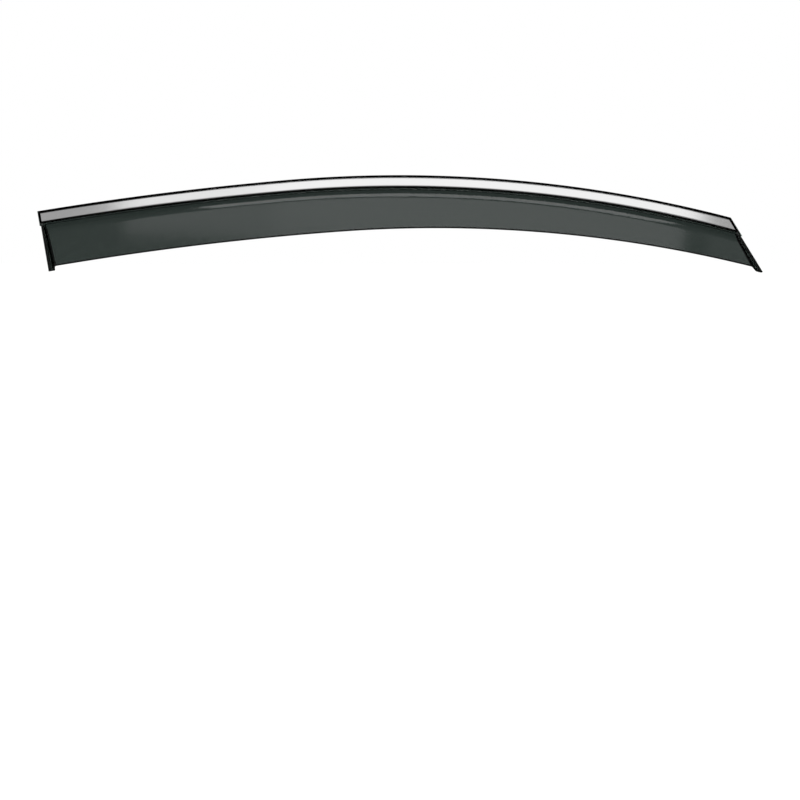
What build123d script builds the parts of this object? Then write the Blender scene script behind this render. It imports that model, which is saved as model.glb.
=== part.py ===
"""Stick-on window rain deflector for a front side door.

The frame is the one the part has on the car: X runs along the door, from the square rear end
(-X) to the raked front end (+X), Z is up and -Y faces away from the door. The origin lies on the
back of the release film over the mounting tape, at the crown of the head rail. All sizes are in
millimetres.
"""

import os
from math import asin, cos, degrees, radians, sin, tan

from build123d import *

# Head rail: the line along the middle of the head, on the door. It is two tangent arcs in a plane
# that leans back, so that the ends of the part lie further back than its crown.
RAIL_LEAN = 14.0
FRONT_RADIUS = 1775.0
REAR_RADIUS = 4400.0
CHANGE_TURN = 5.05
FRONT_REACH = 467.9
REAR_REACH = 501.7

# Tapes and their release films, from the door outwards.
LINER_THICKNESS = 0.2
TAPE_THICKNESS = 1.0
TAPE_WIDTH = 18.4
TAPE_TOP_MARGIN = 0.5
TAPE_END_MARGIN = 1.0
END_TAPE_MARGIN = 0.5
END_TAPE_GAP = 0.5

# Head flange, with a bevelled rim and a groove below it.
HEAD_ABOVE = 9.4
HEAD_THICKNESS = 3.6
TOP_EDGE = 0.6
RIM_LAND = 0.5
GROOVE_DROP = 1.9
GROOVE_DEPTH = 1.4

# Shoulder and blade. Slopes are measured from the upright.
WALL = 2.6
SHOULDER_SLOPE = 45.0
SHOULDER_DROP = 7.1
BEND_RADIUS = 18.0
BLADE_SLOPE = 16.0

# Lower edge: two tangent arcs, seen from the front, cut through the blade at a slope from level.
# They follow the rail's arcs and are flatter by their extra radius.
EDGE_CREST_FORWARD = 57.5
EDGE_CREST_DROP = 63.45
EDGE_FRONT_EXTRA = 162.0
EDGE_REAR_EXTRA = 105.0
EDGE_CHANGE_TURN = 3.92
EDGE_SLOPE = 13.0
EDGE_ROUND = 0.8

# Ends: the rear one is square to the rail, the front one is raked. Their walls reach down past the
# blade's edge to level feet.
FRONT_RAKE = 47.0
END_BEVEL = 48.0
END_STEP = 1.6
END_STEP_DROP = 3.4
END_FLANGE = 2.0
FLANGE_BEVEL = 57.0
FLANGE_LAND = 0.5
WALL_SPLAY = 20.0
FRONT_FOOT_DROP = 10.4
REAR_FOOT_DROP = 8.7
FOOT_FORWARD = 35.0
FOOT_ROUND = 3.0
FRONT_INNER_CORNER = 1.4
REAR_INNER_CORNER = 5.4

# Bright strip and its tape, in a recess of the head.
TRIM_WIDTH = 11.6
TRIM_SHEET = 0.5
TRIM_CROWN = 0.25
TRIM_MARGIN = 1.2
TRIM_TAPE_THICKNESS = 0.5
TRIM_TAPE_INSET = 0.6
TRIM_CLEARANCE = 0.1
TRIM_BORDER = 4.2

# Spare length of a run before its ends are cut off, and of a cut past what it removes.
RUN_OUT = 90.0

# Edges of the rim that are shorter than this close its corners and stay sharp, and points nearer
# to a plane than this lie in it.
RIM_SHORTEST = 3.9
NEAR = 0.01

# Levels outwards from the door, and heights on the head from the rail.
seat = LINER_THICKNESS + TAPE_THICKNESS
head_front = seat + HEAD_THICKNESS
strip_back = head_front - TRIM_SHEET
recess_floor = strip_back - TRIM_TAPE_THICKNESS
flange_front = seat + END_FLANGE
groove_out = head_front - GROOVE_DEPTH
trim_half = TRIM_WIDTH / 2
recess_half = trim_half + TRIM_CLEARANCE
land_half = recess_half + RIM_LAND
groove_low = -land_half - GROOVE_DROP
edge_front_radius = FRONT_RADIUS + EDGE_FRONT_EXTRA
edge_rear_radius = REAR_RADIUS + EDGE_REAR_EXTRA
run_low = -EDGE_CREST_DROP - RUN_OUT
cut_low = 3 * run_low

# Section points of the shell: where the shoulder meets the bend, and the bend meets the blade.
shoulder = radians(SHOULDER_SLOPE)
blade = radians(BLADE_SLOPE)
crease_out = groove_out + SHOULDER_DROP * tan(shoulder)
crease_low = groove_low - SHOULDER_DROP
bend_out = crease_out + BEND_RADIUS * (cos(blade) - cos(shoulder))
bend_low = crease_low - BEND_RADIUS * (sin(shoulder) - sin(blade))
edge_out = bend_out + (EDGE_CREST_DROP + bend_low) * tan(blade)

# Directions of the rail's plane.
along = Vector(1, 0, 0)
rail_up = Vector(0, -sin(radians(RAIL_LEAN)), cos(radians(RAIL_LEAN)))
rail_out = Vector(0, -cos(radians(RAIL_LEAN)), -sin(radians(RAIL_LEAN)))


def radial(turn):
    """Unit vector from the rail's centre of curvature to the rail, turned from the crown."""
    return along * sin(radians(turn)) + rail_up * cos(radians(turn))


front_centre = rail_up * -FRONT_RADIUS
change_point = front_centre + radial(-CHANGE_TURN) * FRONT_RADIUS
rear_centre = change_point - radial(-CHANGE_TURN) * REAR_RADIUS
front_axis = Axis(front_centre, rail_out * -1)
rear_axis = Axis(rear_centre, rail_out)

front_turn = degrees(asin(FRONT_REACH / FRONT_RADIUS))
rear_turn = -degrees(asin((REAR_REACH + rear_centre.X) / REAR_RADIUS))
front_sweep = front_turn + CHANGE_TURN + degrees(RUN_OUT / FRONT_RADIUS)
rear_sweep = -rear_turn - CHANGE_TURN + degrees(RUN_OUT / REAR_RADIUS)


def rail_plane(turn):
    """Section plane at a turn of the rail: x is outwards from the door, y is up the head."""
    if turn > -CHANGE_TURN:
        point = front_centre + radial(turn) * FRONT_RADIUS
    else:
        point = rear_centre + radial(turn) * REAR_RADIUS
    lean = radians(RAIL_LEAN)
    outwards = radial(turn) * sin(lean) + rail_out * cos(lean)
    upwards = radial(turn) * cos(lean) - rail_out * sin(lean)
    return Plane(origin=point, x_dir=outwards, z_dir=outwards.cross(upwards))


def end_plane(turn, rake, lean, inset, level):
    """Plane that closes an end; its normal points away from the part.

    rake turns the end line from square, lean turns the face towards the viewer, and the end line
    lies inset from the end of the head, at a level outwards from the door.
    """
    section = rail_plane(turn)
    length = section.z_dir * (-1 if turn > 0 else 1)
    away = length * cos(radians(rake)) + section.y_dir * sin(radians(rake))
    normal = away * cos(radians(lean)) + section.x_dir * sin(radians(lean))
    return Plane(origin=section.origin + section.x_dir * level - away * inset, z_dir=normal)


def ends(lean, inset, level):
    """Front and rear end planes with the same lean, inset and level."""
    return [
        end_plane(front_turn, FRONT_RAKE, lean, inset, level),
        end_plane(rear_turn, 0.0, lean, inset, level),
    ]


change_plane = rail_plane(-CHANGE_TURN)


def carry(section, end_planes):
    """Carry a section along the rail, both ways from the change of radius, and cut its ends."""
    revolve(section, axis=front_axis, revolution_arc=front_sweep)
    revolve(section, axis=rear_axis, revolution_arc=rear_sweep)
    for plane in end_planes:
        split(bisect_by=plane, keep=Keep.BOTTOM)


def band(inner, outer, low, high):
    """Rectangular section between two levels and two heights."""
    with BuildSketch(change_plane) as profile:
        with Locations(((inner + outer) / 2, (low + high) / 2)):
            Rectangle(outer - inner, high - low)
    return profile.sketch


def head_section():
    """Head flange: flat back, bevelled top rim and the upper side of the groove."""
    with BuildSketch(change_plane) as profile:
        with BuildLine():
            Polyline(
                (seat, HEAD_ABOVE),
                (seat + TOP_EDGE, HEAD_ABOVE),
                (head_front, land_half),
                (head_front, -land_half),
                (groove_out, groove_low),
                (seat, groove_low),
                close=True,
            )
        make_face()
    return profile.sketch


def shell_section(inset, top):
    """Shoulder, bend and blade, set in by inset, and closed far behind the seat."""
    crease = Vector(crease_out - inset * cos(shoulder), crease_low - inset * sin(shoulder))
    bend_end = Vector(bend_out - inset * cos(blade), bend_low - inset * sin(blade))
    start = crease + Vector(-tan(shoulder), 1) * (top - crease.Y)
    foot = bend_end + Vector(tan(blade), -1) * (bend_end.Y - run_low)
    with BuildSketch(change_plane) as profile:
        with BuildLine():
            Line(start, crease)
            TangentArc(crease, bend_end, tangent=crease - start)
            Polyline(bend_end, foot, (-RUN_OUT, run_low), (-RUN_OUT, top), start)
        make_face()
    return profile.sketch


def strip_section():
    """Strip with a flat back, and a raised face whose margins slope back to the edges."""
    with BuildSketch(change_plane) as profile:
        with BuildLine():
            Polyline(
                (strip_back, trim_half),
                (head_front, trim_half),
                (head_front + TRIM_CROWN, trim_half - TRIM_MARGIN),
                (head_front + TRIM_CROWN, TRIM_MARGIN - trim_half),
                (head_front, -trim_half),
                (strip_back, -trim_half),
                close=True,
            )
        make_face()
    return profile.sketch


def corner_edges(solid, plane, turn):
    """Edges where the shoulder, bend and blade meet the end wall that lies in a plane."""
    section = rail_plane(turn)

    def on_corner(edge):
        middle = edge @ 0.5
        place = section.to_local_coords(middle)
        in_plane = abs(plane.to_local_coords(middle).Z) < NEAR
        return in_plane and place.X > groove_out and place.Y > run_low + WALL

    return solid.edges().filter_by(on_corner)


head_ends = ends(END_BEVEL, 0.0, seat)
flange_ends = ends(FLANGE_BEVEL, END_STEP, seat)
flange_width = END_FLANGE * tan(radians(FLANGE_BEVEL)) + FLANGE_LAND
wall_ends = ends(WALL_SPLAY, END_STEP + flange_width, flange_front)
cavity_ends = [plane.offset(-WALL) for plane in wall_ends]
recess_ends = ends(0.0, TRIM_BORDER, head_front)
turns = [front_turn, rear_turn]
inner_corners = [FRONT_INNER_CORNER, REAR_INNER_CORNER]
corners = [radius + WALL for radius in inner_corners]

with BuildPart() as head:
    carry(head_section(), head_ends)

with BuildPart() as dome:
    carry(shell_section(0.0, groove_low), wall_ends)
    for plane, turn, radius in zip(wall_ends, turns, corners):
        fillet(corner_edges(dome, plane, turn), radius)

with BuildPart() as cavity:
    carry(shell_section(WALL, groove_low - WALL / sin(shoulder)), cavity_ends)
    for plane, turn, radius in zip(cavity_ends, turns, inner_corners):
        fillet(corner_edges(cavity, plane, turn), radius)

with BuildPart() as door_side:
    carry(band(-2 * RUN_OUT, seat, 2 * run_low, RUN_OUT), [])

with BuildPart() as recess:
    carry(band(recess_floor, head_front + WALL, -recess_half, recess_half), recess_ends)


def edge_cut(start, direction):
    """Remove everything below the lower edge's line, along a direction from a start."""
    edge_turn = radians(EDGE_CHANGE_TURN)
    rise = Vector(cos(edge_turn), sin(edge_turn))
    change = Vector(
        EDGE_CREST_FORWARD - edge_front_radius * sin(edge_turn),
        -EDGE_CREST_DROP - edge_front_radius * (1 - cos(edge_turn)),
    )
    fall = degrees(asin((FRONT_REACH + FOOT_FORWARD - EDGE_CREST_FORWARD) / edge_front_radius))
    rear_arc = degrees(asin((REAR_REACH + RUN_OUT + change.X) / edge_rear_radius))
    with BuildSketch(Plane(origin=start, x_dir=along, z_dir=Vector(0, -1, 0))) as outline:
        with BuildLine():
            rear = JernArc(change, rise * -1, edge_rear_radius, rear_arc)
            front = JernArc(change, rise, edge_front_radius, -EDGE_CHANGE_TURN - fall)
            foot = JernArc(front @ 1, front % 1, FOOT_ROUND, 90 + fall)
            Polyline(
                foot @ 1,
                foot @ 1 + Vector(0, RUN_OUT),
                foot @ 1 + Vector(RUN_OUT, RUN_OUT),
                ((foot @ 1).X + RUN_OUT, cut_low),
                ((rear @ 1).X, cut_low),
                rear @ 1,
            )
        make_face()
    extrude(outline.sketch, amount=2 * RUN_OUT, dir=direction)


with BuildPart() as below_edge:
    inwards = Vector(0, cos(radians(EDGE_SLOPE)), -sin(radians(EDGE_SLOPE)))
    edge_cut(Vector(0, -edge_out, 0) - inwards * RUN_OUT, inwards)

level_in = Vector(0, 1, 0)
with BuildPart() as below_front_foot:
    edge_cut(Vector(0, -edge_out - RUN_OUT, -FRONT_FOOT_DROP), level_in)

with BuildPart() as below_rear_foot:
    edge_cut(Vector(0, -edge_out - RUN_OUT, -REAR_FOOT_DROP), level_in)

below_feet = [below_front_foot, below_rear_foot]

with BuildPart() as shell:
    add(dome.part)
    add(cavity.part, mode=Mode.SUBTRACT)
    add(below_edge.part, mode=Mode.SUBTRACT)
    rim = shell.faces().filter_by(GeomType.EXTRUSION)
    fillet(rim.edges().filter_by(lambda edge: edge.length > RIM_SHORTEST), EDGE_ROUND)


def end_foot(end):
    """End wall, which reaches down past the blade to a level foot."""
    add(dome.part)
    split(bisect_by=cavity_ends[end], keep=Keep.TOP)
    add(below_feet[end].part, mode=Mode.SUBTRACT)


with BuildPart() as front_foot:
    end_foot(0)

with BuildPart() as rear_foot:
    end_foot(1)


def end_flange(end):
    """Flange around one end wall, reaching in behind the rounded corner of the wall."""
    carry(band(seat, flange_front, run_low, groove_low + WALL), flange_ends)
    carry(band(seat, flange_front, groove_low - END_STEP_DROP, groove_low + WALL), head_ends)
    split(bisect_by=wall_ends[end].offset(-corners[end]), keep=Keep.TOP)
    add(cavity.part, mode=Mode.SUBTRACT)
    add(below_feet[end].part, mode=Mode.SUBTRACT)


with BuildPart() as front_flange:
    end_flange(0)

with BuildPart() as rear_flange:
    end_flange(1)

with BuildPart() as visor_body:
    add(shell.part)
    add(front_foot.part)
    add(rear_foot.part)
    add(door_side.part, mode=Mode.SUBTRACT)
    add(head.part)
    add(recess.part, mode=Mode.SUBTRACT)
    add(front_flange.part)
    add(rear_flange.part)
visor_body.part.label = "visor_body"

with BuildPart() as trim_tape:
    tape_half = trim_half - TRIM_TAPE_INSET
    tape_inset = TRIM_BORDER + TRIM_CLEARANCE + TRIM_TAPE_INSET
    tape_section = band(recess_floor, strip_back, -tape_half, tape_half)
    carry(tape_section, ends(0.0, tape_inset, head_front))
trim_tape.part.label = "trim_tape"

with BuildPart() as trim_strip:
    carry(strip_section(), ends(0.0, TRIM_BORDER + TRIM_CLEARANCE, head_front))
trim_strip.part.label = "trim_strip"

tape_ends = ends(0.0, TAPE_END_MARGIN, seat)
tape_high = HEAD_ABOVE - TAPE_TOP_MARGIN
tape_low = tape_high - TAPE_WIDTH
with BuildPart() as mounting_tape:
    carry(band(LINER_THICKNESS, seat, tape_low, tape_high), tape_ends)
mounting_tape.part.label = "mounting_tape"

with BuildPart() as tape_liner:
    carry(band(0.0, LINER_THICKNESS, tape_low, tape_high), tape_ends)
tape_liner.part.label = "tape_liner"

splay = radians(WALL_SPLAY)
flange_back = flange_width - END_FLANGE * tan(splay) + WALL / cos(splay)
pad_outer = ends(0.0, END_STEP + END_TAPE_MARGIN, seat)
pad_inner = ends(0.0, END_STEP + flange_back - END_TAPE_MARGIN, seat)
pad_top = tape_low - END_TAPE_GAP


def end_pad(inner, outer, end):
    """Layer on the back of one end flange, between two levels."""
    carry(band(inner, outer, run_low, pad_top), pad_outer)
    split(bisect_by=pad_inner[end], keep=Keep.TOP)
    add(below_feet[end].part, mode=Mode.SUBTRACT)


with BuildPart() as front_end_tape:
    end_pad(LINER_THICKNESS, seat, 0)
front_end_tape.part.label = "front_end_tape"

with BuildPart() as front_end_liner:
    end_pad(0.0, LINER_THICKNESS, 0)
front_end_liner.part.label = "front_end_liner"

with BuildPart() as rear_end_tape:
    end_pad(LINER_THICKNESS, seat, 1)
rear_end_tape.part.label = "rear_end_tape"

with BuildPart() as rear_end_liner:
    end_pad(0.0, LINER_THICKNESS, 1)
rear_end_liner.part.label = "rear_end_liner"

os.makedirs("parts", exist_ok=True)
export_step(visor_body.part, "parts/visor_body.step")
export_step(trim_tape.part, "parts/trim_tape.step")
export_step(trim_strip.part, "parts/trim_strip.step")
export_step(mounting_tape.part, "parts/mounting_tape.step")
export_step(tape_liner.part, "parts/tape_liner.step")
export_step(front_end_tape.part, "parts/front_end_tape.step")
export_step(front_end_liner.part, "parts/front_end_liner.step")
export_step(rear_end_tape.part, "parts/rear_end_tape.step")
export_step(rear_end_liner.part, "parts/rear_end_liner.step")
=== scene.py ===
"""Dressed model of a stick-on window rain deflector for a front side door.

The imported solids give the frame. Every piece is a profile carried along the head rail, worked out
with numpy in millimetres and put into the mesh in metres.
"""

import logging
from collections.abc import Callable
from dataclasses import dataclass, replace
from enum import Enum
from math import asin, atan, cos, pi, radians, sin, tan
from typing import Any

import bmesh
import bpy
import numpy as np
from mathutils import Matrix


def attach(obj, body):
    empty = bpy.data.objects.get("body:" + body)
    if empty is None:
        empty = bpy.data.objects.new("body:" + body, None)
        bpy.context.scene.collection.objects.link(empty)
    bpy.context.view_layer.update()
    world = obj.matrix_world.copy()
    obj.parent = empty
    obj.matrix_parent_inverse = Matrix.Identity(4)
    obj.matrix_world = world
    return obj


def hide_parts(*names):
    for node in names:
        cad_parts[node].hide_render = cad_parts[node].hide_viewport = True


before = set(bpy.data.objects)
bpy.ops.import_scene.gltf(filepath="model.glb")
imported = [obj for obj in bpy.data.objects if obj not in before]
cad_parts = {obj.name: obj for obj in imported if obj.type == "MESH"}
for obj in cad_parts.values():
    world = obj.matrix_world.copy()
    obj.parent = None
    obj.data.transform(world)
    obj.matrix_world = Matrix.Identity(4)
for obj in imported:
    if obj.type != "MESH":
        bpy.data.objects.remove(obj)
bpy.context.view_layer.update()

Array = np.ndarray
Pair = tuple[float, float]
Tree = bpy.types.NodeTree
Socket = bpy.types.NodeSocket
Sockets = dict[str, Socket]
Material = bpy.types.Material
Piece = bpy.types.Object

LOG = logging.getLogger("rain_deflector")
MM = 0.001

# Mesh clean-up, in metres, and the turn from which an edge is shaded sharp.
MERGE_DISTANCE = 2e-6
COLLAPSE_DISTANCE = 1e-7
SHARP_ANGLE = radians(32)

# Noise seldom leaves the middle of its range, so what it drives is spread from there.
NOISE_RANGE = (0.3, 0.7)
WHOLE_RANGE = (0.0, 1.0)

# Levels of the release film and of the foam tape, out from the door.
FILM_LEVELS = (0.0, 0.2)
TAPE_LEVELS = (0.2, 1.2)

# Lean of the softboxes in front of the part, and roll of the high ones.
CARD_TILT = radians(51.3)
CARD_ROLL = radians(-3.2)


class End(Enum):
    """The two ends of the deflector."""

    REAR = "rear"
    FRONT = "front"


def linear(hex_code: str) -> tuple[float, ...]:
    """Turn an sRGB hex colour into linear light.

    Args:
        hex_code: six hex digits.

    Returns:
        Linear red, green and blue, and an alpha of one.
    """
    shares = [int(hex_code[i : i + 2], 16) / 255 for i in (0, 2, 4)]
    light = [c / 12.92 if c <= 0.04045 else ((c + 0.055) / 1.055) ** 2.4 for c in shares]
    return (*light, 1.0)


def add_node(tree: Tree, kind: str, **values: Any) -> bpy.types.Node:
    """Add a node, set it up and link it.

    Args:
        tree: the node tree to add to.
        kind: the node's class name after ShaderNode.
        values: socket or property names, with _ for a space. An output socket as the value is
            linked to the input socket of that name; anything else is set. in_0, in_1 and so on
            address input sockets by their number.

    Returns:
        The new node.
    """
    node = tree.nodes.new("ShaderNode" + kind)
    for name, value in values.items():
        if hasattr(node, name) and not isinstance(value, Socket):
            setattr(node, name, value)
            continue
        key = int(name[3:]) if name.startswith("in_") else name.replace("_", " ")
        if isinstance(value, Socket):
            tree.links.new(value, node.inputs[key])
        else:
            node.inputs[key].default_value = value
    return node


def principled(tree: Tree, **values: Any) -> Sockets:
    """Shader set up as by add_node, under the name of the output's socket that it goes to."""
    return {"Surface": add_node(tree, "BsdfPrincipled", **values).outputs[0]}


def pattern(tree: Tree, kind: str, size_mm: float, **values: Any) -> Socket:
    """Strength of a pattern in the piece's own coordinates, with features of a given size."""
    place = add_node(tree, "TexCoord").outputs["Object"]
    return add_node(tree, kind, Vector=place, Scale=1 / (size_mm * MM), **values).outputs[0]


def mixed(tree: Tree, share: Socket, first: str, second: str) -> Socket:
    """Mix of two hex colours by a pattern, which gives the second one's share."""
    colours = {"in_6": linear(first), "in_7": linear(second)}
    return add_node(tree, "Mix", data_type="RGBA", in_0=share, **colours).outputs[2]


def ranged(tree: Tree, value: Socket, old: Pair, new: Pair, **values: Any) -> Socket:
    """Map a value from an old range to a new one, evenly unless the settings say otherwise."""
    ends = dict(zip(("From_Min", "From_Max", "To_Min", "To_Max"), old + new))
    return add_node(tree, "MapRange", Value=value, **ends, **values).outputs[0]


def relief(tree: Tree, height: Socket, depth_mm: float, strength: float) -> Socket:
    """Normal of a surface that a pattern dents, by a share of its depth."""
    depth = depth_mm * MM
    return add_node(tree, "Bump", Height=height, Distance=depth, Strength=strength).outputs[0]


def smooth_min(first: Array, second: Array, width: float) -> Array:
    """The lower of two levels, rounded where they cross.

    Where the levels differ by less than width, the lower one is reduced by a quarter of width
    times the square of the share of width that is left.
    """
    share = np.clip(1 - np.abs(first - second) / width, 0, 1)
    return np.minimum(first, second) - width / 4 * share**2


def smooth_max(first: Array, second: Array, width: float) -> Array:
    """The higher of two levels, rounded where they cross, as smooth_min does."""
    return -smooth_min(-first, -second, width)


def quadratic(start: Array, control: Array, stop: Array, share: Array) -> Array:
    """Points on a quadratic curve, at shares of the way from start to stop."""
    return (1 - share) ** 2 * start + 2 * share * (1 - share) * control + share**2 * stop


def rounded(corners: list[tuple[float, float, float]], steps: int = 4) -> Array:
    """Round the corners of an open line.

    Each corner becomes a quadratic curve that starts and ends at its radius from the corner, and
    has the corner as its middle control point.

    Args:
        corners: height, level and radius of each corner.
        steps: pieces in each rounding.

    Returns:
        Heights and levels along the line, one row each.
    """
    line = []
    share = np.linspace(0, 1, steps + 1)[:, None]
    for i, (height, level, radius) in enumerate(corners):
        here = np.array([height, level])
        if radius == 0 or i in (0, len(corners) - 1):
            line.append(here[None])
            continue
        before = np.array(corners[i - 1][:2]) - here
        after = np.array(corners[i + 1][:2]) - here
        start = here + before / np.linalg.norm(before) * radius
        stop = here + after / np.linalg.norm(after) * radius
        line.append(quadratic(start, here, stop, share))
    return np.concatenate(line)


def layer(start: float, stop: float, levels: Pair, radius: float, steps: int = 4) -> Array:
    """Section of a flat layer, open at its back, with its two outer corners rounded."""
    ends = [(start, levels[0], 0.0), (start, levels[1], radius)]
    return rounded(ends + [(stop, levels[1], radius), (stop, levels[0], 0.0)], steps)


@dataclass(frozen=True)
class Rail:
    """Line along the middle of the head, on the door: two tangent arcs in a leaning plane."""

    lean: float = radians(14.0)
    front_radius: float = 1775.0
    rear_radius: float = 4400.0
    change_turn: float = radians(5.05)
    front_reach: float = 467.9
    rear_reach: float = 501.7

    @property
    def change_run(self) -> float:
        """Run at which the radius changes."""
        return -self.front_radius * self.change_turn

    def directions(self, run: Array) -> tuple[Array, Array, Array, Array]:
        """Points and directions along the rail.

        The turn from the crown is run over radius, with the rear radius behind the change. A
        point is its arc's centre plus radius times the direction turned from the crown. The head
        rises and faces outwards by the lean between that direction and the plane's normal.

        Args:
            run: length along the rail from the crown, in millimetres, front positive.

        Returns:
            Point, direction along, direction up the head and direction outwards.
        """
        ahead = run > self.change_run
        behind = -self.change_turn + (run - self.change_run) / self.rear_radius
        turn = np.where(ahead, run / self.front_radius, behind)
        side = np.array([1.0, 0.0, 0.0])
        up = np.array([0.0, -sin(self.lean), cos(self.lean)])
        out = np.array([0.0, -cos(self.lean), -sin(self.lean)])
        turned = np.sin(turn)[..., None] * side + np.cos(turn)[..., None] * up
        tangent = np.cos(turn)[..., None] * side - np.sin(turn)[..., None] * up
        at_change = -sin(self.change_turn) * side + cos(self.change_turn) * up
        front_centre = -self.front_radius * up
        rear_centre = front_centre + (self.front_radius - self.rear_radius) * at_change
        centre = np.where(ahead[..., None], front_centre, rear_centre)
        radius = np.where(ahead, self.front_radius, self.rear_radius)
        point = centre + radius[..., None] * turned
        rise = cos(self.lean) * turned - sin(self.lean) * out
        outwards = sin(self.lean) * turned + cos(self.lean) * out
        return point, tangent, rise, outwards

    def place(self, run: Array, height: Array, level: Array) -> Array:
        """Points beside the rail.

        Args:
            run: length along the rail from the crown.
            height: height up the head.
            level: level out from the door.

        Returns:
            Points in millimetres, of the common shape of the three.
        """
        run, height, level = np.broadcast_arrays(run, height, level)
        point, _, rise, outwards = self.directions(run.astype(float))
        return point + height[..., None] * rise + level[..., None] * outwards

    def end_run(self, end: End) -> float:
        """Run at which the head ends, from how far it reaches along the door.

        Args:
            end: which end.

        Returns:
            The run, negative at the rear.
        """
        if end is End.FRONT:
            return self.front_radius * asin(self.front_reach / self.front_radius)
        offset = (self.rear_radius - self.front_radius) * sin(self.change_turn)
        turn = -asin((self.rear_reach + offset) / self.rear_radius)
        return self.change_run + (turn + self.change_turn) * self.rear_radius


RAIL = Rail()


@dataclass(frozen=True)
class EndLine:
    """One end of the head: a plane across the rail, square or raked, and its foot and corner."""

    end: End
    rake: float
    foot_drop: float
    corner: float
    foot_step: Pair
    corrections: int = 14

    def foot_share(self, zone: Array) -> Array:
        """Share of the level foot: a smooth step down over the foot step, in the end zone."""
        step = np.clip((self.foot_step[1] - zone) / np.ptp(self.foot_step), 0, 1)
        return step**2 * (3 - 2 * step)

    def run_at(self, inset: Array, height: Array, level: Array) -> Array:
        """Run along the rail at which a line of given height and level lies inset from the end.

        The inset is measured square to the end line. The run is corrected in turn by what it is
        still short of, over the cosine of the rake, until nothing is left.

        Args:
            inset: wanted distance inside the end line.
            height: height up the head.
            level: level out from the door.

        Returns:
            The run, of the common shape of the three.
        """
        inset, height, level = np.broadcast_arrays(inset, height, level)
        sign = 1.0 if self.end is End.FRONT else -1.0
        end_run = RAIL.end_run(self.end)
        origin, tangent, rise, _ = RAIL.directions(np.array(end_run))
        away = sign * cos(self.rake) * tangent + sin(self.rake) * rise
        run = np.full(inset.shape, end_run)
        for _ in range(self.corrections):
            short = inset - (origin - RAIL.place(run, height, level)) @ away
            run = run - sign * short / cos(self.rake)
        return run


REAR_END = EndLine(End.REAR, 0.0, foot_drop=8.7, corner=8.0, foot_step=(0.25, 0.29))
FRONT_END = EndLine(End.FRONT, radians(47.0), foot_drop=10.4, corner=4.0, foot_step=(0.14, 0.24))


@dataclass(frozen=True)
class LowerEdge:
    """Cut along the foot of the blade: two tangent arcs seen from the front, and a round foot."""

    crest_forward: float = 57.5
    crest_drop: float = 63.45
    front_radius: float = RAIL.front_radius + 162.0
    rear_radius: float = RAIL.rear_radius + 105.0
    change_turn: float = radians(3.92)
    slope: float = radians(13.0)
    level: float = 26.61
    foot: float = RAIL.front_reach + 35.0
    foot_round: float = 3.0
    steepness: float = 20.0
    lowest: float = -110.0
    highest: float = -24.0
    halvings: int = 34

    def height(self, x: Array) -> Array:
        """Height of the cut's line, seen from the front.

        Each arc is its centre's height plus the root of radius squared less distance squared;
        ahead of the foot a small circle turns the line steeply upwards.

        Args:
            x: place along the door.

        Returns:
            Height of the cut at the level of the blade's crest.
        """
        base = -self.crest_drop - self.front_radius
        ahead = base + np.sqrt(self.front_radius**2 - (x - self.crest_forward) ** 2)
        sine = sin(self.change_turn)
        change_x = self.crest_forward - self.front_radius * sine
        change_z = base + self.front_radius * cos(self.change_turn)
        centre_x = change_x + self.rear_radius * sine
        centre_z = change_z - self.rear_radius * cos(self.change_turn)
        behind = centre_z + np.sqrt(self.rear_radius**2 - (x - centre_x) ** 2)
        line = np.where(x > change_x, ahead, behind)
        fall = asin((self.foot - self.crest_forward) / self.front_radius)
        foot_x = self.foot + self.foot_round * sin(fall)
        foot_z = base + (self.front_radius + self.foot_round) * cos(fall)
        over = np.clip((x - foot_x) / self.foot_round, -1, 1)
        circle = foot_z - self.foot_round * np.sqrt(1 - over**2)
        beyond = self.steepness * np.maximum(x - foot_x - self.foot_round, 0)
        return np.where(x > self.foot, circle + beyond, line)

    def foot_height(
        self,
        shape: tuple[int, ...],
        points: Callable[[Array], Array],
        share: Array | float,
        drop: Array | float,
    ) -> Array:
        """Height at which lines down the head meet the cut, found by halving the range.

        Under the blade the cut falls by its slope towards the door. Under an end wall it is level,
        and lies a drop below the cut's line. In between, it takes its share of both.

        Args:
            shape: shape of the result.
            points: gives the lines' points at some heights.
            share: share of the level foot, from none to whole.
            drop: how far the level foot lies below the line.

        Returns:
            One height for each line.
        """
        low = np.full(shape, self.lowest)
        high = np.full(shape, self.highest)
        for _ in range(self.halvings):
            middle = (low + high) / 2
            x, y, z = np.moveaxis(points(middle), -1, 0)
            sloped = (y + self.level) * tan(self.slope)
            above = z - self.height(x) + (1 - share) * sloped + share * drop > 0
            high = np.where(above, middle, high)
            low = np.where(above, low, middle)
        return (low + high) / 2


LOWER_EDGE = LowerEdge()


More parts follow.
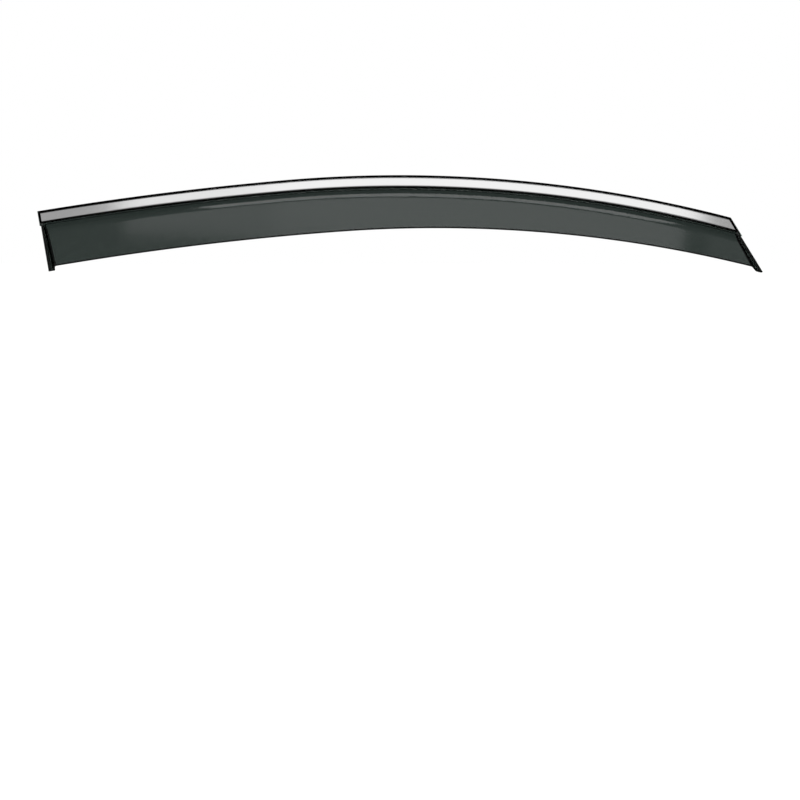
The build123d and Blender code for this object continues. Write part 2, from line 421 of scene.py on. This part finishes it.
def grid_mesh(
    name: str, grid: Array, uv: Array | None = None, caps: bool = False, finish: Array | None = None
) -> Piece:
    """Make an object from a grid of points whose last row joins the first one.

    Args:
        name: the piece's name.
        grid: points in millimetres, as rows, columns and coordinates; rows run down the outer
            face and columns run forwards, so that faces point outwards.
        uv: two pattern coordinates for each point, in millimetres, or None.
        caps: whether the first and last columns are closed with a face each.
        finish: number of the finish for the faces below each row, or None.

    Returns:
        The object, at the origin, with doubles merged and its sharp edges marked.
    """
    rows, columns = grid.shape[:2]
    index = np.arange(rows * columns).reshape(rows, columns)
    below = np.roll(index, -1, axis=0)
    quads = np.stack([index[:, :-1], below[:, :-1], below[:, 1:], index[:, 1:]], axis=-1)
    faces = quads.reshape(-1, 4).tolist()
    if caps:
        faces += [index[::-1, 0].tolist(), index[:, -1].tolist()]
    mesh = bpy.data.meshes.new(name)
    mesh.from_pydata((grid.reshape(-1, 3) * MM).tolist(), [], faces)
    if finish is not None:
        mesh.polygons.foreach_set("material_index", np.repeat(finish, columns - 1))
    if uv is not None:
        corner = np.zeros(len(mesh.loops), np.int32)
        mesh.loops.foreach_get("vertex_index", corner)
        flat = (uv.reshape(-1, 2) * MM)[corner]
        mesh.uv_layers.new(name="Run").data.foreach_set("uv", flat.ravel().astype(np.float32))
    bm = bmesh.new()
    bm.from_mesh(mesh)
    bmesh.ops.remove_doubles(bm, verts=bm.verts, dist=MERGE_DISTANCE)
    bmesh.ops.dissolve_degenerate(bm, edges=bm.edges, dist=COLLAPSE_DISTANCE)
    bm.to_mesh(mesh)
    bm.free()
    mesh.polygons.foreach_set("use_smooth", np.ones(len(mesh.polygons), bool))
    mesh.set_sharp_from_angle(angle=SHARP_ANGLE)
    mesh.update()
    piece = bpy.data.objects.new(name, mesh)
    bpy.context.scene.collection.objects.link(piece)
    return piece


def seat_piece(piece: Piece, slot: str, material: Material, *nodes: str) -> None:
    """Dress a piece, tie it to the part and let it stand for its solids.

    Args:
        piece: the piece.
        slot: material slot of the record; not used.
        material: the finish.
        nodes: solids that the piece stands for.
    """
    piece.data.materials.append(material)
    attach(piece, "root")
    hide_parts(*nodes)
    LOG.info("%s: %d faces, for %s", piece.name, len(piece.data.polygons), ", ".join(nodes))


class Finish:
    """A finish: each kind has the name of its material and gives the shaders for its output."""

    name: str

    def outputs(self, tree: Tree) -> Sockets:
        """Shaders of the finish, by the names of the output's sockets."""
        raise NotImplementedError

    def material(self) -> Material:
        """Make the finish's material.

        Returns:
            The material.
        """
        material = bpy.data.materials.new(self.name)
        material.use_nodes = True
        tree = material.node_tree
        tree.nodes.clear()
        add_node(tree, "OutputMaterial", **self.outputs(tree))
        return material


@dataclass(frozen=True)
class SmokedAcrylic(Finish):
    """Injection-moulded smoked acrylic: clear, dark green-grey, polished by the mould."""

    name: str = "smoked_acrylic_moulded"
    tint: str = "8A9590"
    absorbed: str = "00423A"
    density: float = 815.0
    refraction: float = 1.49
    roughness: Pair = (0.06, 0.09)
    haze_mm: float = 9.0
    flow_mm: float = 70.0
    flow_depth_mm: float = 0.3
    flow_strength: float = 0.25

    def outputs(self, tree: Tree) -> Sockets:
        """Gloss with depth: thin walls let a little light through, edges go black.

        The eye sees a clean, slightly wavy gloss from the mould's flow, and the faintest haze.

        Args:
            tree: the material's tree.

        Returns:
            The surface and the tinted inside.
        """
        haze = pattern(tree, "TexNoise", self.haze_mm, Detail=4.0)
        flow = pattern(tree, "TexNoise", self.flow_mm, Detail=1.0)
        absorbed = linear(self.absorbed)
        depth = add_node(tree, "VolumeAbsorption", Color=absorbed, Density=self.density)
        skin = principled(
            tree, Base_Color=linear(self.tint), Transmission_Weight=1.0, IOR=self.refraction,
            Roughness=ranged(tree, haze, NOISE_RANGE, self.roughness),
            Normal=relief(tree, flow, self.flow_depth_mm, self.flow_strength),
        )
        return skin | {"Volume": depth.outputs[0]}


@dataclass(frozen=True)
class FrostedEdgePaintedShade(Finish):
    """Lower rim of the acrylic, left frosted by trimming, and coloured near-black as painted shade
    for the dark line along the edge.
    """

    name: str = "smoked_acrylic_edge_painted_shade"
    # Near-black tones of the edge: painted shade for the dark line along the lower edge, with the
    # trimming's grain between them.
    colour: str = "0B0D0C"
    pale: str = "161917"
    grain_mm: float = 1.6
    roughness: float = 0.5
    specular: float = 0.15

    def outputs(self, tree: Tree) -> Sockets:
        """Satin edge with the grain of the trimming, its near-black colour painted shade; the grain
        is drawn coarse to show.
        """
        grain = pattern(tree, "TexNoise", self.grain_mm, Detail=3.0)
        return principled(
            tree, Base_Color=mixed(tree, grain, self.colour, self.pale),
            Roughness=self.roughness, Specular_IOR_Level=self.specular,
        )


@dataclass(frozen=True)
class BrightSteel(Finish):
    """Bright-rolled stainless steel strip: mirror-like, with fine lines along the rolling."""

    name: str = "stainless_steel_bright_rolled"
    colour: str = "C9C9C9"
    roughness: Pair = (0.07, 0.12)
    line_mm: float = 0.35
    line_run_mm: float = 60.0
    line_depth_mm: float = 0.02
    line_strength: float = 0.06

    def outputs(self, tree: Tree) -> Sockets:
        """Metal whose gloss varies in long thin lines; the lines are drawn coarse to show.

        Args:
            tree: the material's tree.

        Returns:
            The surface.
        """
        run = add_node(tree, "UVMap", uv_map="Run").outputs[0]
        scale = (1 / (self.line_run_mm * MM), 1 / (self.line_mm * MM), 1.0)
        drawn = add_node(tree, "Mapping", Vector=run, Scale=scale).outputs[0]
        lines = add_node(tree, "TexNoise", Vector=drawn, Scale=1.0, Detail=3.0).outputs[0]
        return principled(
            tree, Base_Color=linear(self.colour), Metallic=1.0,
            Roughness=ranged(tree, lines, NOISE_RANGE, self.roughness),
            Normal=relief(tree, lines, self.line_depth_mm, self.line_strength),
        )


@dataclass(frozen=True)
class FoamTape(Finish):
    """Black closed-cell acrylic foam: matt, with the fine pores of a cut edge."""

    name: str = "acrylic_foam_black"
    colour: str = "161616"
    # Darker colour of the pores: painted shade in their hollows.
    pore_shade: str = "0A0A0A"
    pore_mm: float = 0.4
    pore_depth_mm: float = 0.1
    pore_strength: float = 0.4
    roughness: float = 0.85

    def outputs(self, tree: Tree) -> Sockets:
        """Matt foam dented at its pores, which are coloured darker as painted shade in their
        hollows.
        """
        pores = pattern(tree, "TexVoronoi", self.pore_mm)
        return principled(
            tree, Base_Color=mixed(tree, pores, self.pore_shade, self.colour), Roughness=self.roughness,
            Normal=relief(tree, pores, self.pore_depth_mm, self.pore_strength),
        )


@dataclass(frozen=True)
class ReleaseFilm(Finish):
    """Red polyethylene release film: satin, with shallow cockles from the roll."""

    name: str = "polyethylene_film_red"
    colour: str = "B51A1E"
    pale: str = "C4393A"
    roughness: Pair = (0.45, 0.3)
    cockle_mm: float = 14.0
    cockle_depth_mm: float = 0.3
    cockle_strength: float = 0.3

    def outputs(self, tree: Tree) -> Sockets:
        """Satin film, slightly paler and glossier on its cockles."""
        cockle = pattern(tree, "TexNoise", self.cockle_mm, Detail=2.0)
        return principled(
            tree, Base_Color=mixed(tree, cockle, self.colour, self.pale),
            Roughness=ranged(tree, cockle, WHOLE_RANGE, self.roughness),
            Normal=relief(tree, cockle, self.cockle_depth_mm, self.cockle_strength),
        )


@dataclass(frozen=True)
class PalePaper(Finish):
    """Pale studio paper: even and matt, so that the eye sees no floor."""

    name: str = "paper_pale_matt"
    colour: str = "F6F6F5"
    roughness: float = 0.9

    def outputs(self, tree: Tree) -> Sockets:
        """Even paper without any gloss."""
        colour = linear(self.colour)
        return principled(tree, Base_Color=colour, Roughness=self.roughness, Specular_IOR_Level=0.0)


@dataclass
class VisorBody:
    """Moulded body: head flange with a recess, groove, shoulder, blade and closed ends."""

    # Head flange, from the seat on the tape outwards.
    seat: float = TAPE_LEVELS[1]
    head_front: float = 4.8
    head_above: float = 9.4
    top_edge: float = 0.6
    land_half: float = 6.4
    recess_half: float = 5.9
    recess_floor: float = 3.8
    recess_border: float = 4.2
    groove_low: float = -8.3
    groove_out: float = 3.4
    top_round: float = 0.3
    land_round: float = 0.35
    recess_round: float = 0.12

    # Shoulder, bend and blade; slopes are measured from the upright.
    wall: float = 2.6
    crease_low: float = -15.4
    bend_radius: float = 18.0
    shoulder: float = radians(45.0)
    blade: float = radians(16.0)

    # Ends; a corner is rounded over the corner width times the end's corner.
    head_bevel: float = radians(48.0)
    flange_bevel: float = radians(57.0)
    flange: float = 2.0
    flange_land: float = 0.5
    flange_blend: float = 0.3
    end_step: float = 1.6
    step_drop: float = 3.4
    splay: float = radians(20.0)
    corner_width: float = 1.15

    # Lower edge: rounding, what limits it on the face and on the cut, and the frosted margin, which
    # carries the rim's near-black painted shade.
    edge_round: float = 0.8
    face_left: float = 0.9
    cut_share: float = 0.4
    least_width: float = 1e-6
    painted_shade_margin: float = 0.9

    # Columns on a bevel, at the recess's end, on a wall, crowded to its foot, and along the run.
    end_zone: float = 34.0
    bevel_columns: int = 5
    recess_gap: float = 0.01
    wall_columns: int = 54
    crowding: float = 1.25
    run_columns: int = 230

    # Rows: distances from the groove, step, web and crease, and numbers of rows.
    shoulder_rows: tuple[float, ...] = (0.02, 0.5, 1.3, 2.3)
    step_gap: float = 0.03
    web_gap: float = 0.6
    crease_gap: float = 0.5
    crease_rows: int = 5
    bend_rows: int = 14
    blade_rows: int = 14
    rim_rows: int = 4

    @property
    def wall_base(self) -> float:
        """Inset at which the splayed wall rises from the flange."""
        return self.end_step + self.flange * tan(self.flange_bevel) + self.flange_land

    def zone_share(self) -> Array:
        """Share of the way from the flange into the end zone, for each wall column."""
        return np.linspace(0, 1, self.wall_columns + 1)[1:] ** self.crowding

    def section(self, height: Array, inset: float) -> Array:
        """Level of the shoulder, bend and blade at a height, set in from the outer face.

        The shoulder and the blade are straight lines at their slopes. The bend between them is
        an arc: its centre's level plus the root of radius squared less height squared.

        Args:
            height: height up the head.
            inset: distance inside the outer face.

        Returns:
            Level out from the door.
        """
        crease_out = self.groove_out + (self.groove_low - self.crease_low) * tan(self.shoulder)
        centre_low = self.crease_low - self.bend_radius * sin(self.shoulder)
        centre_out = crease_out - self.bend_radius * cos(self.shoulder)
        radius = self.bend_radius - inset
        upper = centre_low + radius * sin(self.shoulder)
        lower = centre_low + radius * sin(self.blade)
        upper_out = centre_out + radius * cos(self.shoulder)
        lower_out = centre_out + radius * cos(self.blade)
        rise = np.clip((height - centre_low) / radius, 0, 1)
        arc = centre_out + radius * np.sqrt(1 - rise**2)
        above = upper_out - (height - upper) * tan(self.shoulder)
        below = lower_out + (lower - height) * tan(self.blade)
        return np.where(height > upper, above, np.where(height > lower, arc, below))

    def rows(self) -> tuple[Array, Array, Array]:
        """Heights and levels of the rows from the top edge to the foot of the bend.

        Returns:
            Heights, head levels (not a number below the groove), and whether a row lies below
            the web, where the hollow begins.
        """
        corners = [
            (self.head_above, self.seat, 0.0),
            (self.head_above, self.seat + self.top_edge, self.top_round),
            (self.land_half, self.head_front, self.land_round),
            (self.recess_half, self.head_front, self.recess_round),
            (self.recess_half, self.recess_floor, 0.0),
            (-self.recess_half, self.recess_floor, 0.0),
            (-self.recess_half, self.head_front, self.recess_round),
            (-self.land_half, self.head_front, self.land_round),
            (self.groove_low, self.groove_out, 0.0),
        ]
        head = rounded(corners)
        web = self.groove_low - self.wall / sin(self.shoulder)
        step = self.groove_low - self.step_drop
        upper = self.groove_low - np.array(self.shoulder_rows)
        around = np.array([step + self.step_gap, step - self.step_gap, web, web])
        lower = np.linspace(web - self.web_gap, self.crease_low, self.crease_rows)
        foot = self.crease_low - self.bend_radius * (sin(self.shoulder) - sin(self.blade))
        bend = np.linspace(self.crease_low - self.crease_gap, foot, self.bend_rows)
        shell = np.concatenate([upper, around, lower, bend])
        height = np.concatenate([head[:, 0], shell])
        level = np.concatenate([head[:, 1], np.full(len(shell), np.nan)])
        hollow = np.arange(len(height)) >= len(head) + len(upper) + len(around) - 1
        return height, level, hollow

    def insets(self, outer: bool) -> Array:
        """Distances of the end columns inside the end line.

        Args:
            outer: whether the outer face is meant.

        Returns:
            Insets on the head, on the drop of its end and on the flange below that, a row each.
        """
        base = self.wall_base
        bevel = np.linspace(0, 1, self.bevel_columns)
        head = bevel * (self.head_front - self.seat) * tan(self.head_bevel)
        border = [self.recess_border, self.recess_border + self.recess_gap]
        drop = bevel * self.flange * tan(self.head_bevel)
        plate = [base - self.flange_land / 2, base]
        flange = self.end_step + bevel * self.flange * tan(self.flange_bevel)
        edges = np.array([[*head, *border], [*drop, *plate], [*flange, *plate]])
        if not outer:
            back = base - self.flange * tan(self.splay) + self.wall / cos(self.splay)
            edges[-1] = np.linspace(self.end_step, back, edges.shape[1])
        start = edges[:, -1:]
        return np.concatenate([edges, start + self.zone_share() * (self.end_zone - start)], axis=1)

    def outer_level(self, inset: Array, height: Array, head: Array, line: EndLine) -> Array:
        """Level of the outer face near an end.

        The head is the lower of its section and the end bevel. Below the groove the face is the
        lower of the section and the splayed wall, rounded at their corner, or the flange where
        that is higher.

        Args:
            inset: distance inside the end line.
            height: height up the head.
            head: level of the head's section, not a number below the groove.
            line: the end.

        Returns:
            Level out from the door.
        """
        bevel = self.seat + inset / tan(self.head_bevel)
        recess = (head == self.recess_floor) & (inset <= self.recess_border)
        top = np.minimum(np.where(recess, self.head_front, head), bevel)
        stepped = height < self.groove_low - self.step_drop
        flange = self.seat + (inset - self.end_step) / tan(self.flange_bevel)
        front = self.seat + self.flange
        plate = np.minimum(front, np.where(stepped, flange, bevel))
        wall = front + (inset - self.wall_base) / tan(self.splay)
        width = self.corner_width * line.corner
        shell = smooth_min(self.section(height, 0.0), wall, width)
        return np.where(np.isnan(head), smooth_max(plate, shell, self.flange_blend), top)

    def inner_level(self, inset: Array, height: Array, hollow: Array, line: EndLine) -> Array:
        """Level of the back near an end: the seat, or the hollow where that is further out.

        Args:
            inset: distance inside the end line.
            height: height up the head.
            hollow: whether the row lies below the web.
            line: the end.

        Returns:
            Level out from the door.
        """
        start = self.wall_base + self.wall / cos(self.splay)
        wall = self.seat + self.flange + (inset - start) / tan(self.splay)
        width = self.corner_width * (line.corner - self.wall)
        shell = smooth_min(self.section(height, self.wall), wall, width)
        return np.where(hollow, np.maximum(self.seat, shell), self.seat)

    def columns(self, inset: Array) -> tuple[Array, Array, Array]:
        """Spread end columns over both ends and the run between them.

        Args:
            inset: rows and end columns of insets.

        Returns:
            Insets from the rear end and from the front end for all columns, and the share of
            the way from rear to front.
        """
        run = np.full((inset.shape[0], self.run_columns), self.end_zone)
        still = np.full_like(inset, self.end_zone)
        share = np.linspace(0, 1, self.run_columns + 2)[1:-1]
        zone = inset.shape[1]
        rear = np.concatenate([inset, run, still], axis=1)
        front = np.concatenate([still, run, inset[:, ::-1]], axis=1)
        forward = np.concatenate([np.zeros(zone), share, np.ones(zone)])
        return rear, front, np.broadcast_to(forward, rear.shape)

    def surface(self, height: Array, inset: Array, mark: Array, outer: bool) -> Array:
        """Points of the outer face or the back.

        Each end gives a level and a run along the rail. A column takes its share of the runs, and
        the level of the nearer end.

        Args:
            height: height of every row and column.
            inset: insets of every row and end column.
            mark: head level of each row (outer) or whether the row is hollow (back).
            outer: whether this is the outer face.

        Returns:
            Points in millimetres.
        """
        rear_inset, front_inset, forward = self.columns(inset)
        mark = np.broadcast_to(mark[:, None], height.shape)
        level_of = self.outer_level if outer else self.inner_level
        rear_level = level_of(rear_inset, height, mark, REAR_END)
        front_level = level_of(front_inset, height, mark, FRONT_END)
        rear_run = REAR_END.run_at(rear_inset, height, rear_level)
        front_run = FRONT_END.run_at(front_inset, height, front_level)
        run = (1 - forward) * rear_run + forward * front_run
        level = np.where(forward < 0.5, rear_level, front_level)
        return RAIL.place(run, height, level)

    def foot(self, inset: Array, outer: bool) -> Array:
        """Height at which each column meets the lower cut.

        Args:
            inset: insets of the end columns.
            outer: whether the outer face is meant.

        Returns:
            One height for each column.
        """
        count = 2 * inset.size + self.run_columns
        mark = np.array([np.nan if outer else True])
        zone = np.pad(self.zone_share(), (inset.size - self.wall_columns, 0))
        rear, front = (line.foot_share(zone) for line in (REAR_END, FRONT_END))
        share = np.concatenate([rear, np.zeros(self.run_columns), front[::-1]])
        drop = np.where(np.arange(count) < count / 2, REAR_END.foot_drop, FRONT_END.foot_drop)

        def points(height: Array) -> Array:
            """Points of the columns at some heights."""
            return self.surface(height, inset[None], mark, outer)

        return LOWER_EDGE.foot_height((1, count), points, share, drop)

    def face(self, outer: bool) -> tuple[Array, Array]:
        """Points of one face with its square lower corner.

        Args:
            outer: whether the outer face is meant.

        Returns:
            Rows of points down to the rounding of the lower edge, and the row of corners.
        """
        height, level, hollow = self.rows()
        # How many of the two steps lie above a row picks its insets.
        steps = self.groove_low, self.groove_low - self.step_drop
        inset = self.insets(outer)[np.sum([height < step for step in steps], axis=0)]
        count = 2 * inset.shape[1] + self.run_columns
        upper = self.surface(
            np.repeat(height[:, None], count, axis=1), inset, level if outer else hollow, outer
        )
        lowest = inset[-1:]
        corner_height = self.foot(lowest[0], outer)
        drop = height[-1] - corner_height
        reach = np.maximum(drop - self.edge_round, self.face_left * drop)
        share = np.linspace(0, 1, self.blade_rows)[1:, None]
        spread = np.concatenate([share * (reach - self.painted_shade_margin), reach])
        mark = np.full(self.blade_rows, np.nan if outer else True)
        lower = self.surface(
            height[-1] - spread, np.repeat(lowest, self.blade_rows, axis=0), mark, outer
        )
        corner = self.surface(corner_height, lowest, mark[:1], outer)
        return np.concatenate([upper, lower]), corner

    def rim(self, start: Array, corner: Array, other: Array) -> Array:
        """Rounding from a face into the cut: a quadratic curve with the corner as its control.

        Args:
            start: last row of the face.
            corner: square corner between the face and the cut.
            other: the corner on the far side of the cut.

        Returns:
            Rows of points after start.
        """
        across = other - corner
        width = np.linalg.norm(across, axis=-1, keepdims=True)
        reach = np.minimum(self.edge_round, self.cut_share * width)
        stop = corner + across * (reach / np.maximum(width, self.least_width))
        share = np.linspace(0, 1, self.rim_rows + 1)[1:, None, None]
        return quadratic(start, corner, stop, share)

    def build(self, skin: Material, edge: Material) -> None:
        """Join the outer face, the rounded rim and the back into one closed body.

        The margin just above the rim has the rim's finish, whose near-black colour is painted
        shade.

        Args:
            skin: finish of the polished faces.
            edge: finish of the rim, near-black as painted shade.
        """
        outer, outer_corner = self.face(True)
        inner, inner_corner = self.face(False)
        front_rim = self.rim(outer[-1:], outer_corner, inner_corner)
        back_rim = self.rim(inner[-1:], inner_corner, outer_corner)
        grid = np.concatenate([outer, front_rim, back_rim[::-1], inner[::-1]])
        # Faces of the rim and of the margin above it take the near-black edge finish: painted
        # shade.
        painted_shade_faces = np.zeros(len(grid), np.int32)
        painted_shade_faces[len(outer) - 2 : len(outer) + len(front_rim) + len(back_rim)] = 1
        piece = grid_mesh("visor_shell", grid, finish=painted_shade_faces)
        seat_piece(piece, "smoked_acrylic", skin, "visor_body")
        piece.data.materials.append(edge)


@dataclass
class CarriedStrip:
    """A strip or tape of one section, carried along the head and cut at both ends."""

    name: str
    slot: str
    node: str
    low: float
    high: float
    levels: Pair
    end_inset: float
    edge_round: float
    crown: float = 0.0
    crown_power: int = 12
    end_bevel: float = 0.12
    bevel_share: float = 0.3
    round_steps: int = 5
    across: int = 13
    columns: int = 300

    def loop(self, shrink: float) -> Array:
        """Closed section, drawn in by shrink: a rounded outer face that is raised by its crown.

        The crown fades as a high power of the distance from the middle, so the face is flat and
        its margins roll back.

        Args:
            shrink: distance that the section is drawn in by.

        Returns:
            Heights and levels round the section, each a column, down the outer face first.
        """
        inner, outer = self.levels
        top = self.high - shrink
        foot = self.low + shrink
        face = outer - shrink
        line = layer(top, foot, (inner + shrink, face), self.edge_round, self.round_steps)
        turn = np.linspace(-pi / 2, pi / 2, self.across)[1:-1]
        half_flat = (top - foot) / 2 - self.edge_round
        middle = (top + foot) / 2 - np.sin(turn) * half_flat
        flat = np.stack([middle, np.full(len(middle), face)], axis=1)
        half_way = len(line) // 2
        line = np.concatenate([line[:half_way], flat, line[half_way:]])
        half = (self.high - self.low) / 2
        centred = np.abs(line[:, 0] - (self.high + self.low) / 2) / half
        raised = np.clip((line[:, 1] - inner) / (outer - inner), 0, 1)
        line[:, 1] += self.crown * raised * (1 - centred**self.crown_power)
        return line.T[..., None]

    def build(self, material: Material) -> None:
        """Carry the section between the ends, with a small bevel round each end face.

        Args:
            material: the finish.
        """
        bevel = min(self.end_bevel, self.bevel_share * (self.levels[1] - self.levels[0]))
        share = np.concatenate([[0.0], np.linspace(0, 1, self.columns), [1.0]])
        edge = np.zeros(len(share), bool)
        edge[[0, -1]] = True
        height, level = np.where(edge, self.loop(bevel), self.loop(0.0))
        inset = np.where(edge, self.end_inset, self.end_inset + bevel)
        rear = REAR_END.run_at(inset, height, level)
        front = FRONT_END.run_at(inset, height, level)
        run = (1 - share) * rear + share * front
        uv = np.stack([run, height], axis=-1)
        piece = grid_mesh(self.name, RAIL.place(run, height, level), uv, caps=True)
        seat_piece(piece, self.slot, material, self.node)


@dataclass
class EndPad:
    """A layer of tape or film on the back of one end flange, from the head tape to the foot."""

    name: str
    slot: str
    node: str
    line: EndLine
    levels: Pair
    edge_round: float
    near: float = 2.1
    far: float = 6.7
    top: float = -10.0
    rows: int = 60

    def build(self, material: Material) -> None:
        """Carry the section of the layer down the flange, from the top to the foot.

        Args:
            material: the finish.
        """
        corners = layer(self.near, self.far, self.levels, self.edge_round)
        inset, level = corners[:, :1], corners[:, 1:]

        def points(height: Array) -> Array:
            """Points of the section's lines at some heights."""
            return RAIL.place(self.line.run_at(inset, height, level), height, level)

        foot = LOWER_EDGE.foot_height(inset.shape, points, 1.0, self.line.foot_drop)
        grid = points(self.top + (foot - self.top) * np.linspace(0, 1, self.rows))
        if self.line.end is End.REAR:
            grid = grid[::-1]
        piece = grid_mesh(self.name, grid, caps=True)
        seat_piece(piece, self.slot, material, self.node)


@dataclass(frozen=True)
class SoftLight:
    """A rectangular studio light, given by its place, size, brightness, tilt and roll."""

    name: str
    centre: tuple[float, float, float]
    size: Pair
    radiance: float
    tilt: float = CARD_TILT
    roll: float = 0.0

    def build(self) -> None:
        """Hang the light; its power is brightness times pi times area."""
        light = bpy.data.lights.new(self.name, "AREA")
        light.shape = "RECTANGLE"
        light.size, light.size_y = (side * MM for side in self.size)
        light.energy = self.radiance * pi * light.size * light.size_y
        lamp = bpy.data.objects.new(self.name, light)
        lamp.location = [c * MM for c in self.centre]
        lamp.rotation_mode = "ZYX"
        lamp.rotation_euler = (self.tilt, 0.0, self.roll)
        lamp.visible_camera = False
        bpy.context.scene.collection.objects.link(lamp)


@dataclass
class Studio:
    """White surroundings, soft lights, a pale floor and the camera."""

    # Floor and camera, which aims below the part by a drop, seen at a distance.
    floor_drop: float = 520.0
    floor_half: float = 30000.0
    camera_place: tuple[float, float, float] = (0.7, -4164.0, -57.6)
    aim_drop: float = 245.196
    aim_distance: float = 4170.0
    lens: float = 135.0
    sensor: float = 36.0
    clip_end: float = 200.0

    # Glow that glossy faces mirror, the shares of direction over which it changes, and the extra
    # light for matt faces.
    glow: float = 0.55
    side_glow: float = 0.22
    dim_glow: float = 0.1
    ahead_range: Pair = (-0.78, -0.975)
    side_range: Pair = (0.4, 0.8)
    front_range: Pair = (0.1, -0.3)
    matt_gain: float = 0.2

    lights: tuple[SoftLight, ...] = (
        SoftLight("low_softbox", (90.0, -2420.0, 100.0), (1790.0, 1024.0), 0.77),
        SoftLight("low_core", (282.5, -2450.0, 100.0), (1405.0, 1024.0), 0.18),
        SoftLight(
            "high_softbox", (112.5, -1605.0, 1119.0), (1885.0, 464.0), 0.97, roll=CARD_ROLL
        ),
        SoftLight("high_core", (312.5, -1635.0, 1119.0), (1485.0, 464.0), 0.2, roll=CARD_ROLL),
        SoftLight("side_softbox", (1320.0, -1780.0, 900.0), (360.0, 1024.0), 0.3),
        SoftLight("top_softbox", (188.0, -645.0, 1500.0), (1600.0, 1030.0), 2.2, tilt=0.0),
    )

    def surroundings(self) -> None:
        """White all round, but glossy faces mirror only a glow in front of the part.

        The glow is strongest straight ahead, weaker at the sides and faint in between. Behind the
        part there is none, so that the end walls mirror the dark.
        """
        world = bpy.data.worlds.new("studio")
        bpy.context.scene.world = world
        world.use_nodes = True
        tree = world.node_tree
        tree.nodes.clear()
        path = add_node(tree, "LightPath")
        toward = add_node(tree, "TexCoord").outputs["Generated"]
        axes = add_node(tree, "SeparateXYZ", Vector=toward)
        forward = axes.outputs[1]
        sideways = add_node(tree, "Math", operation="ABSOLUTE", in_0=axes.outputs[0])
        added = (0.0, self.glow - self.dim_glow)
        eased = {"interpolation_type": "SMOOTHSTEP"}
        ahead = ranged(tree, forward, self.ahead_range, added, **eased)
        aside = (self.dim_glow, self.side_glow)
        side = ranged(tree, sideways.outputs[0], self.side_range, aside, **eased)
        front = ranged(tree, forward, self.front_range, WHOLE_RANGE, **eased)
        glow = add_node(tree, "Math", operation="MULTIPLY_ADD", in_0=side, in_1=front, in_2=ahead)
        mirrored = add_node(
            tree, "Math", operation="SUBTRACT", in_0=path.outputs["Is Glossy Ray"],
            in_1=path.outputs["Is Transmission Ray"], use_clamp=True,
        )
        matt = add_node(
            tree, "Math", operation="MULTIPLY_ADD", in_0=path.outputs["Is Diffuse Ray"],
            in_1=self.matt_gain, in_2=1.0,
        )
        strength = add_node(
            tree, "Mix", in_0=mirrored.outputs[0], in_2=matt.outputs[0], in_3=glow.outputs[0]
        )
        back = add_node(tree, "Background", Color=(1, 1, 1, 1), Strength=strength.outputs[0])
        add_node(tree, "OutputWorld", Surface=back.outputs[0])

    def floor(self) -> None:
        """Pale matt floor well below the part, which no glossy face mirrors."""
        corners = self.floor_half * np.array([[-1, -1], [1, -1], [1, 1], [-1, 1]])
        points = np.concatenate([corners, np.full((4, 1), -self.floor_drop)], axis=1) * MM
        mesh = bpy.data.meshes.new("floor")
        mesh.from_pydata(points.tolist(), [], [(0, 1, 2, 3)])
        mesh.materials.append(PalePaper().material())
        sheet = bpy.data.objects.new("floor", mesh)
        sheet.visible_glossy = False
        bpy.context.scene.collection.objects.link(sheet)

    def camera(self) -> None:
        """Camera in front of the part, slightly turned down."""
        data = bpy.data.cameras.new("camera")
        data.lens = self.lens
        data.sensor_width = self.sensor
        data.clip_end = self.clip_end
        eye = bpy.data.objects.new("camera", data)
        eye.location = [c * MM for c in self.camera_place]
        pitch = atan(self.aim_drop / self.aim_distance)
        eye.rotation_euler = (pi / 2 - pitch, 0.0, 0.0)
        bpy.context.scene.collection.objects.link(eye)
        bpy.context.scene.camera = eye

    def build(self) -> None:
        """Set up the studio, with colours shown as they are."""
        bpy.context.scene.view_settings.view_transform = "Standard"
        self.camera()
        self.surroundings()
        self.floor()
        for light in self.lights:
            light.build()


def main() -> None:
    """Build the studio and the part, piece by piece."""
    logging.basicConfig(level=logging.INFO, format="%(name)s: %(message)s")
    Studio().build()
    foam = FoamTape().material()
    film = ReleaseFilm().material()
    VisorBody().build(SmokedAcrylic().material(), FrostedEdgePaintedShade().material())
    strip = CarriedStrip(
        "bright_strip", "bright_steel", "trim_strip", low=-5.8, high=5.8, levels=(4.3, 4.8),
        end_inset=4.3, edge_round=0.25, crown=0.25,
    )
    strip.build(BrightSteel().material())
    under = CarriedStrip(
        "strip_tape", "foam_tape", "trim_tape", low=-5.2, high=5.2, levels=(3.8, 4.3),
        end_inset=4.9, edge_round=0.05, across=5,
    )
    under.build(foam)
    tape = CarriedStrip(
        "head_tape", "foam_tape", "mounting_tape", low=-9.5, high=8.9, levels=TAPE_LEVELS,
        end_inset=1.0, edge_round=0.08, across=7,
    )
    tape.build(foam)
    liner = replace(
        tape, name="head_film", slot="release_film", node="tape_liner", levels=FILM_LEVELS,
        edge_round=0.03,
    )
    liner.build(film)
    for line in (REAR_END, FRONT_END):
        end = line.end.value
        pad = EndPad(
            f"{end}_end_pad", "foam_tape", f"{end}_end_tape", line, TAPE_LEVELS, edge_round=0.06
        )
        pad.build(foam)
        cover = EndPad(
            f"{end}_end_film", "release_film", f"{end}_end_liner", line, FILM_LEVELS,
            edge_round=0.03,
        )
        cover.build(film)


if __name__ == "__main__":
    main()
